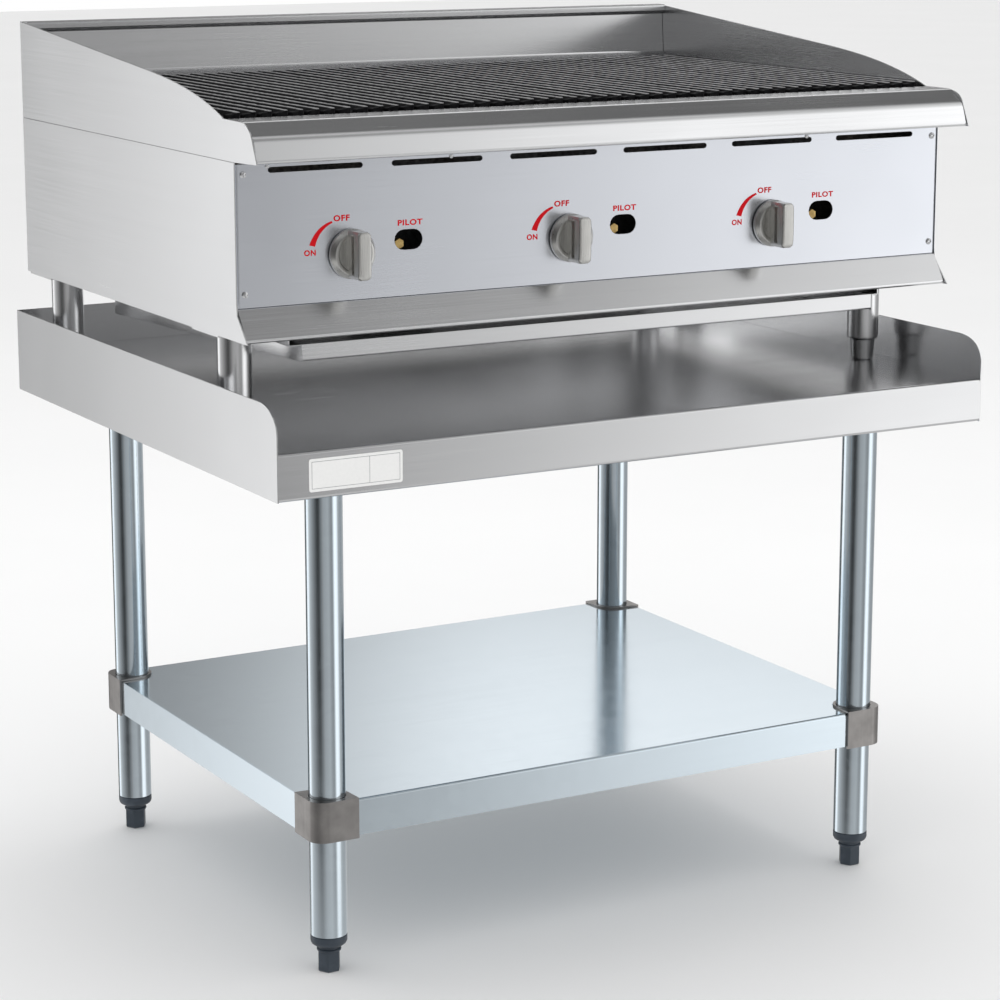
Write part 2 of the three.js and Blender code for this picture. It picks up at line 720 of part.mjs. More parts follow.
// One cast grate: ridged bars that run front to back, closed by a block at each end.
function grate() {
  const { grateDepth } = grill;
  const barCount = 8;
  const pitch = 18.5;
  const [front, back] = [-252, 300];
  const barBottom = -16;
  const trough = -6;
  const blockTop = -1.5;
  const troughX = -7 + 2 * (blockTop - trough) / (blockTop - barBottom);
  const bar = [[7, 0], [3.5, 0], [troughX, trough], [-5, barBottom], [5, barBottom]];
  const endBlock = [[7, 0], [-7, blockTop], [-5, barBottom], [5, barBottom]];
  const blockLength = 13;
  const along = (outline, x, y0, y1) => prismY(outline.map(([u, v]) => [u + x, v]), y0, y1);
  const bars = Array.from({ length: barCount }, (unused, i) => {
    const x = (i - (barCount - 1) / 2) * pitch;
    return join(along(bar, x, front, back), along(endBlock, x, front, front + blockLength),
      along(endBlock, x, back - blockLength, back));
  });
  const halfWidth = (barCount - 1) / 2 * pitch + 4;
  const ribs = [front + 20, (front + back) / 2, back - 13].map((y) => block(
    [-halfWidth, halfWidth], [y - 5, y + 5], [-grateDepth, barBottom + 1]));
  return join(bars, ribs);
}

function dripTray() {
  const { halfWidth, lip, front, back, top, depthFront, depthBack } = tray;
  const t = THIN_SHEET;
  const mid = t / 2;
  const pan = prismX(foldedSheet([
    [front + t, top],
    [front + t, top - depthFront + t],
    [back - t, top - depthBack + t],
    [back - t, top],
  ], t, 1.5), -halfWidth + mid, halfWidth - mid);
  const walls = SIDES.map(([, side]) => {
    const outline = [[front, top], [front, top - depthFront], [back, top - depthBack], [back, top]];
    const rightWall = join(
      prismX(outline, halfWidth - t, halfWidth),
      block([halfWidth - mid, halfWidth + lip], [front, back], [top - t, top]));
    return mirrored(rightWall, side < 0, false);
  });
  return join(pan, walls);
}

const grillLegBottom = stand.deckTop + 26;

// A tube with a mounting plate on top, open below for its foot.
function grillLeg() {
  const plateTop = grill.bottom - GAP;
  const plateThickness = 3;
  const plate = block([-30, 34], [-35, 35], [plateTop - plateThickness, plateTop]);
  const tube = cut(
    rod([0, 0, grillLegBottom], [0, 0, plateTop - 1], grill.legRadius, 20),
    rod([0, 0, grillLegBottom - 1], [0, 0, plateTop - plateThickness],
      grill.legRadius - SHEET, 20));
  return join(plate, tube);
}

// The foot that screws into the leg: a tapered end below a plug.
function grillFoot() {
  const base = stand.deckTop + GAP;
  const plugRadius = grill.legRadius - SHEET - 2 * GAP;
  const plugTop = grillLegBottom + 28;
  return turned([
    [0, base],
    [12.5, base],
    [13.5, base + 2],
    [15.3, grillLegBottom - 1],
    [plugRadius, grillLegBottom + 1],
    [plugRadius, plugTop],
    [0, plugTop],
  ]);
}

function buildTop() {
  const count = 6;
  const spacing = 150.2;
  for (let i = 0; i < count; i += 1) {
    const casting = piece(`grate_${i + 1}`, castIron(), grate());
    casting.position.set((i - (count - 1) / 2) * spacing, 0, grill.grateTop);
  }
}

function buildBelow() {
  piece('drip_tray', stainless(), dripTray());
  const rows = [['front', grill.legFrontY], ['back', grill.legBackY]];
  rows.forEach(([endName, y]) => SIDES.forEach(([sideName, side]) => {
    const corner = new THREE.Group();
    corner.position.set(side * grill.legX, y, 0);
    object.add(corner);
    piece(`grill_leg_${endName}_${sideName}`, stainless(), mirrored(grillLeg(), side < 0, false), corner);
    piece(`grill_foot_${endName}_${sideName}`, stainless(), grillFoot(), corner);
  }));
}

buildStand();
buildCabinet();
buildGasTrain();
buildTop();
buildBelow();

export default object;
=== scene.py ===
"""A gas charbroiler grill on its equipment stand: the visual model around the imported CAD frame.

Lengths in this file are millimetres until a surface becomes a piece. +X is right, -Y is the front.
"""

import json
import math

import bmesh
import bpy
from mathutils import Euler, Matrix, Vector, noise


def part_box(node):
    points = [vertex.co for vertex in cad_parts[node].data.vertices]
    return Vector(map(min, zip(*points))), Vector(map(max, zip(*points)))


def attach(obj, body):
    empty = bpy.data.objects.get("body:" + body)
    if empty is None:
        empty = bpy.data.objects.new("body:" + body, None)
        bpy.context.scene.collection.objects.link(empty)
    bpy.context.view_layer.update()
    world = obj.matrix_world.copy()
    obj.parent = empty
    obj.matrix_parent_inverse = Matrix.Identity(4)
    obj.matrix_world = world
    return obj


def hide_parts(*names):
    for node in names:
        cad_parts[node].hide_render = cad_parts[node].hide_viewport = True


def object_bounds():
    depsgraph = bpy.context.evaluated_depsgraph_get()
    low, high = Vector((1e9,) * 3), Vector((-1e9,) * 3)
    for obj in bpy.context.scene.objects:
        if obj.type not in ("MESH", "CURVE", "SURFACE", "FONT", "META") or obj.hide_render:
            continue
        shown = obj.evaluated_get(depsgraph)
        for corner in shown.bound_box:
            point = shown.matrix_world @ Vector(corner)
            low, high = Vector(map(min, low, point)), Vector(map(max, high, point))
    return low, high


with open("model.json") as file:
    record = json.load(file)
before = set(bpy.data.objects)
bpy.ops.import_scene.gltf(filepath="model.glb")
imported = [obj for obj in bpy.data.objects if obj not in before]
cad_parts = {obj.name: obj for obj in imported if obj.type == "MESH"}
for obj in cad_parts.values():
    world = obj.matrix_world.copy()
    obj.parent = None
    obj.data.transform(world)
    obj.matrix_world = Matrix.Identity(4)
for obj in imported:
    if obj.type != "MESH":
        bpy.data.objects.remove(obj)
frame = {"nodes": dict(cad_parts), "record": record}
cad_low, cad_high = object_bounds()
noise.seed_set(1)            # unseeded, Blender's noise follows the clock

MM = 0.001
BODIES = frame["record"]["behaviour"]["bodies"]
BODY_OF = {node: body for body, nodes in BODIES.items() for node in nodes}
FIXED_BODY = BODY_OF["stand_top"]
CORNERS = [f"{end}_{side}" for end in ("front", "back") for side in ("left", "right")]
UNITS = (1, 2, 3)            # burners, each with its knob, valves and radiant
GRATES = range(1, 7)
SIDES = {"left": -1, "right": 1}
SHEET = 1.5                  # thickness of the stainless sheet and of the tubes' walls
EASED_EDGE = 0.3             # how far a cut sheet's edge is broken
BENT_STEPS = 8               # facets in a bend of sheet metal
SHARP_ANGLE = 35             # edges that turn more than this are edges, not curves
FLAT_ANGLE = 0.4             # facets of a CAD face that turn less than this are one face


def box_mm(node):
    """Lowest and highest corner of a CAD node, in millimetres."""
    low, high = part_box(node)
    return low / MM, high / MM


def panel_front():
    """The y of the control panel's face."""
    return box_mm("control_panel")[0].y


# ------------------------------------------------------------------ camera, light and floor

SENSOR = 36.0
FRAME_WIDTH = 1000           # pixels
FOCAL_PIXELS = 2884.9
CAMERA_PLACE = (-1.6822, -3.0205, 1.2094)
CAMERA_YAW = -29.41
CAMERA_PITCH = 11.51
CAMERA_SHIFT = -0.05


def make_camera():
    """The photograph's viewpoint: from the front left, a little above the grates."""
    data = bpy.data.cameras.new("camera")
    data.sensor_width = SENSOR
    data.lens = FOCAL_PIXELS / FRAME_WIDTH * SENSOR
    data.shift_y = CAMERA_SHIFT
    data.clip_end = 100
    camera = bpy.data.objects.new("camera", data)
    camera.location = CAMERA_PLACE
    camera.rotation_euler = Euler((math.radians(90 - CAMERA_PITCH), 0, math.radians(CAMERA_YAW)))
    bpy.context.scene.collection.objects.link(camera)
    bpy.context.scene.camera = camera


# Brightness of the studio that the metal reflects, by azimuth in degrees from +X towards +Y,
# in layers from straight below to straight above.
FLOOR_LAYER = [(0, 0.80), (360, 0.80)]
GROUND_LAYER = [
    (0, 0.62), (20, 0.66), (40, 0.76), (60, 0.74), (76, 0.56), (90, 0.36), (102, 0.32), (108, 0.46),
    (112, 0.84), (117, 1.14), (130, 1.06), (142, 0.78), (160, 0.64), (182, 0.46), (200, 0.24),
    (212, 0.24), (222, 0.44), (240, 0.64), (268, 0.70), (284, 0.58), (294, 0.56), (298, 0.70),
    (303, 0.96), (309, 1.12), (326, 1.06), (338, 0.70), (360, 0.62),
]
MIDDLE_LAYER = [
    (0, 0.36), (18, 0.32), (38, 0.64), (47, 1.02), (61, 1.04), (67, 0.62), (76, 0.46), (90, 0.36),
    (102, 0.34), (108, 0.46), (112, 0.84), (117, 1.14), (130, 1.06), (142, 0.78), (160, 0.60),
    (182, 0.40), (202, 0.22), (212, 0.24), (226, 0.40), (244, 0.46), (268, 0.50), (284, 0.56),
    (294, 0.58), (298, 0.70), (303, 0.96), (309, 1.12), (326, 1.06), (338, 0.56), (360, 0.36),
]
DARK_AT_HORIZON = range(38, 69)      # azimuths at which the middle layer starts above the horizon
HORIZON_DARK = 0.36
HORIZON_LAYER = [(azimuth, HORIZON_DARK if azimuth in DARK_AT_HORIZON else brightness)
                 for azimuth, brightness in MIDDLE_LAYER]
UPPER_LAYER = [
    (0, 0.42), (16, 0.36), (60, 0.44), (120, 0.50), (200, 0.36), (296, 0.38), (308, 0.42),
    (318, 0.56), (328, 0.80), (338, 0.84), (348, 0.62), (360, 0.42),
]
LAYERS = [FLOOR_LAYER, GROUND_LAYER, HORIZON_LAYER, MIDDLE_LAYER, UPPER_LAYER]
# Heights between which each layer gives way to the next, as sines of the elevation.
LAYER_EDGES = [(-0.42, -0.31), (-0.05, 0.02), (0.18, 0.27), (0.50, 0.74)]
BACKDROP = 1.0               # brightness of the plain backdrop that lights everything else
DISPLAY_GAMMA = 2.2
MIX_FROM, MIX_TO, MIXED = 6, 7, 2    # colour sockets of a Mix node


def new_node(tree, kind, inputs=None, **settings):
    """A shader node with its settings and unlinked input values."""
    made = tree.nodes.new(kind)
    for name, value in settings.items():
        setattr(made, name, value)
    for name, value in (inputs or {}).items():
        made.inputs[name].default_value = value
    return made


def grey(value):
    return (value, value, value, 1.0)


def shown_grey(brightness):
    """The light that shows as this brightness on a display."""
    return grey(brightness ** DISPLAY_GAMMA)


def band_ramp(tree, bands):
    """A ramp of greys over one turn of azimuth."""
    ramp = new_node(tree, "ShaderNodeValToRGB")
    stops = ramp.color_ramp.elements
    stops[0].position, stops[1].position = 0.0, 1.0
    stops[0].color = shown_grey(bands[0][1])
    stops[1].color = shown_grey(bands[-1][1])
    for degrees, brightness in bands[1:-1]:
        stops.new(degrees / 360).color = shown_grey(brightness)
    return ramp


def azimuth_share(tree, parts):
    """The azimuth of a direction, as a share of a whole turn."""
    azimuth = new_node(tree, "ShaderNodeMath", operation="ARCTAN2")
    turn = new_node(tree, "ShaderNodeMath", operation="DIVIDE", inputs={1: math.tau})
    wrap = new_node(tree, "ShaderNodeMath", operation="FRACT")
    tree.links.new(parts.outputs["Y"], azimuth.inputs[0])
    tree.links.new(parts.outputs["X"], azimuth.inputs[1])
    tree.links.new(azimuth.outputs[0], turn.inputs[0])
    tree.links.new(turn.outputs[0], wrap.inputs[0])
    return wrap.outputs[0]


def layered_bands(tree, share, height):
    """The colour of all the layers, each blended into the one below it."""
    ramps = [band_ramp(tree, layer) for layer in LAYERS]
    for ramp in ramps:
        tree.links.new(share, ramp.inputs[0])
    seen = ramps[0].outputs["Color"]
    for ramp, (start, end) in zip(ramps[1:], LAYER_EDGES):
        climb = new_node(tree, "ShaderNodeMapRange", inputs={"From Min": start, "From Max": end})
        blend = new_node(tree, "ShaderNodeMix", data_type="RGBA")
        tree.links.new(height, climb.inputs["Value"])
        tree.links.new(climb.outputs[0], blend.inputs[0])
        tree.links.new(seen, blend.inputs[MIX_FROM])
        tree.links.new(ramp.outputs["Color"], blend.inputs[MIX_TO])
        seen = blend.outputs[MIXED]
    return seen


def make_world():
    """A plain pale backdrop that lights evenly, and soft upright bands for the metal to reflect."""
    world = bpy.data.worlds.new("studio")
    world.use_nodes = True
    tree = world.node_tree
    tree.nodes.clear()
    direction = new_node(tree, "ShaderNodeTexCoord")
    parts = new_node(tree, "ShaderNodeSeparateXYZ")
    studio = new_node(tree, "ShaderNodeBackground", inputs={"Strength": 1.0})
    backdrop = new_node(tree, "ShaderNodeBackground",
                        inputs={"Color": grey(BACKDROP), "Strength": 1.0})
    path = new_node(tree, "ShaderNodeLightPath")
    mix = new_node(tree, "ShaderNodeMixShader")
    output = new_node(tree, "ShaderNodeOutputWorld")
    link = tree.links.new
    link(direction.outputs["Generated"], parts.inputs[0])
    bands = layered_bands(tree, azimuth_share(tree, parts), parts.outputs["Z"])
    link(bands, studio.inputs["Color"])
    link(path.outputs["Is Glossy Ray"], mix.inputs[0])
    link(backdrop.outputs[0], mix.inputs[1])
    link(studio.outputs[0], mix.inputs[2])
    link(mix.outputs[0], output.inputs["Surface"])
    bpy.context.scene.world = world


def make_softbox(name, azimuth, elevation, distance, width, height, power, mirrored=True):
    """A large rectangular lamp that faces the middle of the object, seen in the metal or not."""
    data = bpy.data.lights.new(name, "AREA")
    data.shape = "RECTANGLE"
    data.size = width
    data.size_y = height
    data.energy = power
    lamp = bpy.data.objects.new(name, data)
    turn, rise = math.radians(azimuth), math.radians(elevation)
    away = Vector((math.cos(turn) * math.cos(rise), math.sin(turn) * math.cos(rise), math.sin(rise)))
    centre = (cad_low + cad_high) / 2
    lamp.location = centre + away * distance
    lamp.rotation_euler = away.to_track_quat("Z", "Y").to_euler()
    lamp.visible_glossy = mirrored
    bpy.context.scene.collection.objects.link(lamp)


def make_lights():
    make_softbox("overhead_softbox", azimuth=60, elevation=78, distance=3.6,
                 width=3.0, height=2.2, power=34, mirrored=False)
    make_softbox("front_right_softbox", azimuth=326, elevation=34, distance=4.2,
                 width=1.4, height=1.8, power=1.2)
    make_softbox("back_left_softbox", azimuth=140, elevation=34, distance=4.2,
                 width=1.4, height=1.8, power=3)


# ------------------------------------------------------------------ materials

class Finish:
    """A node material in the making: the shader, its tree, and shared coordinates."""

    def __init__(self, name, colour, metallic, roughness):
        self.material = bpy.data.materials.new(name)
        self.material.use_nodes = True
        self.tree = self.material.node_tree
        self.shader = self.tree.nodes["Principled BSDF"]
        self.shader.inputs["Base Color"].default_value = (*colour, 1.0)
        self.shader.inputs["Metallic"].default_value = metallic
        self.shader.inputs["Roughness"].default_value = roughness
        self.place = new_node(self.tree, "ShaderNodeTexCoord").outputs["Object"]
        self.height = None

    def stretched(self, scale):
        """Object coordinates scaled per axis, so that a pattern can run long one way."""
        mapping = new_node(self.tree, "ShaderNodeMapping", inputs={"Scale": scale})
        self.tree.links.new(self.place, mapping.inputs["Vector"])
        return mapping.outputs[0]

    def noise(self, scale, detail=3.0, roughness=0.55, place=None):
        """Cloudy noise, with about scale patches to the metre of its coordinates."""
        texture = new_node(self.tree, "ShaderNodeTexNoise",
                           inputs={"Scale": scale, "Detail": detail, "Roughness": roughness})
        self.tree.links.new(place or self.place, texture.inputs["Vector"])
        return texture.outputs[0]

    def along(self, axis):
        """How far along one row axis the surface lies, in metres."""
        parts = new_node(self.tree, "ShaderNodeSeparateXYZ")
        self.tree.links.new(self.place, parts.inputs[0])
        return parts.outputs[axis]

    def cells(self, scale):
        """A random value in each of many small cells."""
        texture = new_node(self.tree, "ShaderNodeTexVoronoi", inputs={"Scale": scale})
        self.tree.links.new(self.place, texture.inputs["Vector"])
        return texture.outputs["Color"]

    def ranged(self, value, low, high, start=0.3, end=0.7):
        """A pattern's value from start to end, as a number from low to high."""
        span = new_node(self.tree, "ShaderNodeMapRange", inputs={
            "From Min": start, "From Max": end, "To Min": low, "To Max": high})
        self.tree.links.new(value, span.inputs["Value"])
        return span.outputs[0]

    def times(self, first, second):
        """Two patterns multiplied."""
        product = new_node(self.tree, "ShaderNodeMath", operation="MULTIPLY")
        self.tree.links.new(first, product.inputs[0])
        self.tree.links.new(second, product.inputs[1])
        return product.outputs[0]

    def colour_between(self, factor, first, second):
        """A colour that a pattern moves from the first to the second."""
        mix = new_node(self.tree, "ShaderNodeMix", data_type="RGBA",
                       inputs={MIX_FROM: (*first, 1.0), MIX_TO: (*second, 1.0)})
        self.tree.links.new(factor, mix.inputs[0])
        return mix.outputs[MIXED]

    def tinted(self, colour, factor, tint):
        """A colour pattern that another pattern moves towards a tint."""
        mix = new_node(self.tree, "ShaderNodeMix", data_type="RGBA", inputs={MIX_TO: (*tint, 1.0)})
        self.tree.links.new(factor, mix.inputs[0])
        self.tree.links.new(colour, mix.inputs[MIX_FROM])
        return mix.outputs[MIXED]

    def use(self, socket, value):
        """Drives one of the shader's sockets with a pattern."""
        self.tree.links.new(value, self.shader.inputs[socket])

    def relief(self, value, depth, strength=1.0):
        """Adds a height pattern, depth in millimetres, on top of those already there."""
        bump = new_node(self.tree, "ShaderNodeBump",
                        inputs={"Strength": strength, "Distance": depth * MM})
        self.tree.links.new(value, bump.inputs["Height"])
        if self.height is not None:
            self.tree.links.new(self.height, bump.inputs["Normal"])
        self.height = bump.outputs[0]
        self.tree.links.new(self.height, self.shader.inputs["Normal"])


# Noise patches to the metre along each axis, for grain that runs along one of them.
GRAIN = {"x": (5, 640, 640), "y": (640, 5, 640), "z": (640, 640, 5)}
BROAD_GRAIN = 0.22           # the broad streaks' patches to the metre, as a share of the grain's


def shade(colour, factor):
    """A lighter or darker colour."""
    return tuple(channel * factor for channel in colour)


def brushed_steel(name, colour, along, roughness=0.22, marks=1.0):
    """Rolled and brushed sheet: fine lines one way, broad cloudy patches from handling.

    marks says how strong the lines are.
    """
    finish = Finish(name, colour, 1.0, roughness)
    grain = finish.noise(1.0, 4.0, 0.62, finish.stretched(GRAIN[along]))
    broad = finish.noise(1.0, 2.0, 0.5, finish.stretched(shade(GRAIN[along], BROAD_GRAIN)))
    patches = finish.noise(2.6, 3.0)
    base = finish.colour_between(
        finish.ranged(grain, 0, 1), shade(colour, 0.985), shade(colour, 1.01))
    streaks = finish.ranged(broad, 0.0, 0.10 * marks, 0.35, 0.75)
    base = finish.tinted(base, streaks, shade(colour, 0.85))
    finish.use("Base Color", base)
    worn = finish.ranged(patches, roughness - 0.035, roughness + 0.05)
    lines = finish.ranged(grain, 1 - 0.12 * marks, 1 + 0.16 * marks)
    finish.use("Roughness", finish.times(worn, lines))
    finish.relief(grain, 0.010 * marks, 0.09)
    finish.relief(patches, 0.5, 0.05)
    return finish.material


def galvanised_steel(name, along, roughness):
    """Zinc-coated steel: a cold blue-grey with faint spangle and drawing lines."""
    colour = (0.74, 0.83, 0.895)
    finish = Finish(name, colour, 1.0, roughness)
    spangle = finish.cells(70)
    grain = finish.noise(1.0, 3.0, 0.55, finish.stretched(GRAIN[along]))
    finish.use("Base Color", finish.colour_between(
        finish.ranged(spangle, 0, 1, 0, 1), shade(colour, 0.98), shade(colour, 1.015)))
    flakes = finish.ranged(spangle, roughness - 0.01, roughness + 0.02, 0, 1)
    finish.use("Roughness", finish.times(flakes, finish.ranged(grain, 0.9, 1.12)))
    finish.relief(grain, 0.006, 0.08)
    return finish.material


def cast_iron(ridge_top):
    """Seasoned black iron: sandy casting skin, with the tops of the ridges scraped bright."""
    finish = Finish("cast_iron", (0.012, 0.012, 0.013), 0.0, 0.6)
    sand = finish.noise(900, 4.0, 0.7)
    lumps = finish.noise(190, 3.0)
    near_top = finish.ranged(finish.along("Z"), 0.0, 1.0, ridge_top - 2.0 * MM, ridge_top - 1.1 * MM)
    scraped = finish.times(near_top, finish.ranged(finish.noise(120, 3.0), 0.45, 1.0))
    base = finish.colour_between(
        finish.ranged(lumps, 0, 1), (0.004, 0.004, 0.005), (0.016, 0.016, 0.017))
    base = finish.tinted(base, scraped, (0.72, 0.72, 0.73))
    finish.use("Base Color", base)
    finish.use("Metallic", scraped)
    finish.shader.inputs["Specular IOR Level"].default_value = 0.04
    finish.use("Roughness", finish.ranged(sand, 0.45, 0.7))
    finish.relief(lumps, 0.5, 0.5)
    finish.relief(sand, 0.18, 0.6)
    return finish.material


def heat_dulled_steel():
    """Fire-box steel: grey scale with brown and blue heat stains."""
    finish = Finish("heat_dulled_steel", (0.22, 0.21, 0.20), 0.9, 0.5)
    stains = finish.noise(7, 5.0, 0.6)
    scale = finish.noise(240, 3.0)
    base = finish.colour_between(
        finish.ranged(stains, 0, 1), (0.24, 0.20, 0.16), (0.20, 0.22, 0.25))
    base = finish.tinted(base, finish.ranged(scale, 0.0, 0.6), (0.06, 0.055, 0.05))
    finish.use("Base Color", base)
    finish.use("Roughness", finish.ranged(scale, 0.42, 0.68))
    finish.relief(scale, 0.15, 0.35)
    return finish.material


def clamp_steel():
    """Brown-grey pressed steel with a fine peened skin."""
    colour = (0.36, 0.345, 0.335)
    finish = Finish("clamp_steel", colour, 1.0, 0.33)
    grain = finish.noise(1.0, 3.0, 0.6, finish.stretched(GRAIN["z"]))
    patches = finish.noise(45, 3.0)
    finish.use("Base Color", finish.colour_between(
        finish.ranged(patches, 0, 1), shade(colour, 0.85), shade(colour, 1.12)))
    finish.use("Roughness", finish.ranged(grain, 0.27, 0.42))
    finish.relief(grain, 0.015, 0.5)
    return finish.material


def satin_knob_metal():
    """Bead-blasted die-cast metal, warm grey, with a fine vertical brushing."""
    colour = (0.68, 0.675, 0.65)
    finish = Finish("knob_metal", colour, 1.0, 0.34)
    grain = finish.noise(1.0, 4.0, 0.6, finish.stretched((900, 900, 30)))
    cloud = finish.noise(60, 2.0)
    finish.use("Base Color", finish.colour_between(
        finish.ranged(grain, 0, 1), shade(colour, 0.88), shade(colour, 1.14)))
    blasted = finish.ranged(cloud, 0.28, 0.38)
    finish.use("Roughness", finish.times(blasted, finish.ranged(grain, 0.85, 1.2)))
    finish.relief(grain, 0.02, 0.5)
    return finish.material


def plain_brass():
    """Machined brass, slightly tarnished."""
    finish = Finish("brass", (0.70, 0.50, 0.20), 1.0, 0.3)
    tarnish = finish.noise(110, 4.0)
    finish.use("Base Color", finish.colour_between(
        finish.ranged(tarnish, 0, 1), (0.74, 0.54, 0.22), (0.42, 0.28, 0.11)))
    finish.use("Roughness", finish.ranged(tarnish, 0.22, 0.45))
    finish.relief(tarnish, 0.05, 0.3)
    return finish.material


def foot_plastic():
    """Moulded blue-grey nylon with a spark-eroded grain."""
    finish = Finish("foot_plastic", (0.040, 0.054, 0.072), 0.0, 0.42)
    spark = finish.noise(700, 3.0)
    scuffs = finish.noise(35, 4.0)
    finish.use("Base Color", finish.colour_between(
        finish.ranged(scuffs, 0, 1, 0.45, 0.8), (0.036, 0.049, 0.066), (0.085, 0.105, 0.13)))
    finish.use("Roughness", finish.ranged(spark, 0.34, 0.52))
    finish.relief(spark, 0.06, 0.45)
    return finish.material


def red_print():
    """Screen-printed enamel: red, a little uneven in gloss."""
    finish = Finish("red_print", (0.62, 0.002, 0.008), 0.0, 0.5)
    mesh_marks = finish.noise(1200, 2.0)
    finish.use("Base Color", finish.colour_between(
        finish.ranged(mesh_marks, 0, 1), (0.58, 0.002, 0.008), (0.68, 0.003, 0.010)))
    finish.use("Roughness", finish.ranged(mesh_marks, 0.45, 0.6))
    finish.shader.inputs["Specular IOR Level"].default_value = 0.15
    return finish.material


def label_film(name, colour):
    """Printed polyester film with faint mottling."""
    finish = Finish(name, colour, 0.0, 0.35)
    mottle = finish.noise(260, 3.0)
    finish.use("Base Color", finish.colour_between(
        finish.ranged(mottle, 0, 1), shade(colour, 0.97), colour))
    finish.use("Roughness", finish.ranged(mottle, 0.3, 0.42))
    finish.relief(mottle, 0.02, 0.3)
    return finish.material


def floor_paint():
    """Pale matt paint with a barely uneven tone."""
    finish = Finish("floor_paint", grey(0.9)[:3], 0.0, 0.7)
    tone = finish.noise(1.5, 3.0)
    finish.use("Base Color", finish.colour_between(
        finish.ranged(tone, 0, 1), (0.885, 0.885, 0.885), (0.9, 0.9, 0.9)))
    return finish.material


STEEL = (0.84, 0.845, 0.855)
PANEL = (0.82, 0.845, 0.90)

materials = {
    "steel_x": brushed_steel("brushed_steel_across", STEEL, "x"),
    "steel_y": brushed_steel("brushed_steel_deep", STEEL, "y"),
    "steel_z": brushed_steel("brushed_steel_upright", STEEL, "z"),
    # The stand's deck is the same brushed steel with its colour darkened by a tenth: painted shade.
    "deck_painted_shade": brushed_steel("brushed_steel_deck_painted_shade", shade(STEEL, 0.9), "x", 0.2),
    "panel": brushed_steel("panel_steel", PANEL, "x", 0.24, marks=0.3),
    "galvanised_sheet": galvanised_steel("galvanised_sheet", "x", 0.15),
    "galvanised_tube": galvanised_steel("galvanised_tube", "z", 0.14),
    "iron": cast_iron(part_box("grate_1")[1].z),
    "dull": heat_dulled_steel(),
    "clamp": clamp_steel(),
    "knob": satin_knob_metal(),
    "brass": plain_brass(),
    "plastic": foot_plastic(),
    "red": red_print(),
    "label": label_film("label_film", (0.88, 0.88, 0.87)),
    "label_line": label_film("label_line", (0.30, 0.31, 0.32)),
}


# ------------------------------------------------------------------ surfaces

def add_loft(surface, rings, ends=True):
    """Skins a row of closed rings with the same number of points each."""
    rows = [[surface.verts.new(point) for point in ring] for ring in rings]
    for one, next_one in zip(rows, rows[1:]):
        for i in range(len(one)):
            j = (i + 1) % len(one)
            surface.faces.new((one[i], one[j], next_one[j], next_one[i]))
    if ends:
        surface.faces.new(rows[0][::-1])
        surface.faces.new(rows[-1])
    return rows


def add_turned(surface, profile, place=None, sides=64, hollow=False):
    """A profile of (radius, height) turned about Z, then moved by a matrix.

    A hollow profile is a closed loop; any other starts and ends in a flat end.
    """
    place = place or Matrix()
    angles = [math.tau * i / sides for i in range(sides)]
    loop = profile + profile[:1] if hollow else profile
    rings = [[place @ Vector((r * math.cos(a), r * math.sin(a), z)) for a in angles]
             for r, z in loop]
    first = len(surface.verts)
    add_loft(surface, rings, ends=not hollow)
    if hollow:
        surface.verts.ensure_lookup_table()
        bmesh.ops.remove_doubles(surface, verts=surface.verts[first:], dist=1e-4)


def folded(corners, thickness, radii):
    """The two faces of a folded sheet, from its mid-line's corners and the radius of each bend."""
    line = [Vector(corner) for corner in corners]
    stations = [(line[0], (line[1] - line[0]).normalized())]
    for before, corner, after, radius in zip(line, line[1:], line[2:], radii):
        come, leave = (corner - before).normalized(), (after - corner).normalized()
        turn = come.angle_signed(leave)
        setback = radius * math.tan(abs(turn) / 2)
        side = -math.copysign(1, turn)
        centre = corner - come * setback + Vector((-come.y, come.x)) * side * radius
        for step in range(BENT_STEPS + 1):
            heading = come.copy()
            heading.rotate(Matrix.Rotation(-turn * step / BENT_STEPS, 2))
            stations.append((centre - Vector((-heading.y, heading.x)) * side * radius, heading))
    stations.append((line[-1], (line[-1] - line[-2]).normalized()))

    def face(offset):
        return [point + Vector((-heading.y, heading.x)) * offset for point, heading in stations]
    return face(thickness / 2), face(-thickness / 2)


def add_sheet(surface, faces, span):
    """A folded sheet, its section in (y, z), carried along X, its cut ends closed by small quads."""
    outer, inner = faces
    ring = list(outer) + list(inner)[::-1]
    rows = add_loft(surface, [[(x, p.x, p.y) for p in ring] for x in span], ends=False)
    last = len(ring) - 1
    for row in (rows[0], rows[-1]):
        for i in range(len(outer) - 1):
            surface.faces.new((row[i], row[i + 1], row[last - i - 1], row[last - i]))


def add_block(surface, low, high):
    """A box between two corners, one part of a larger piece."""
    (x0, y0, z0), (x1, y1, z1) = low, high
    rings = [[(x0, y0, z), (x1, y0, z), (x1, y1, z), (x0, y1, z)] for z in (z0, z1)]
    add_loft(surface, rings)


def bezier(start, first, second, end, steps):
    """Points along a cubic curve, without its first point."""
    points = []
    for step in range(1, steps + 1):
        t = step / steps
        weights = ((1 - t) ** 3, 3 * t * (1 - t) ** 2, 3 * t * t * (1 - t), t ** 3)
        points.append(tuple(sum(w * p[k] for w, p in zip(weights, (start, first, second, end)))
                            for k in (0, 1)))
    return points


def soften(shown, edge):
    """Breaks the sharp edges so that they catch light, and keeps the flat faces flat."""
    if edge:
        bevel = shown.modifiers.new("eased_edges", "BEVEL")
        bevel.width = edge * MM
        bevel.segments = 2
        bevel.limit_method = "ANGLE"
        bevel.angle_limit = math.radians(SHARP_ANGLE)
    normals = shown.modifiers.new("flat_faces", "WEIGHTED_NORMAL")
    normals.keep_sharp = True


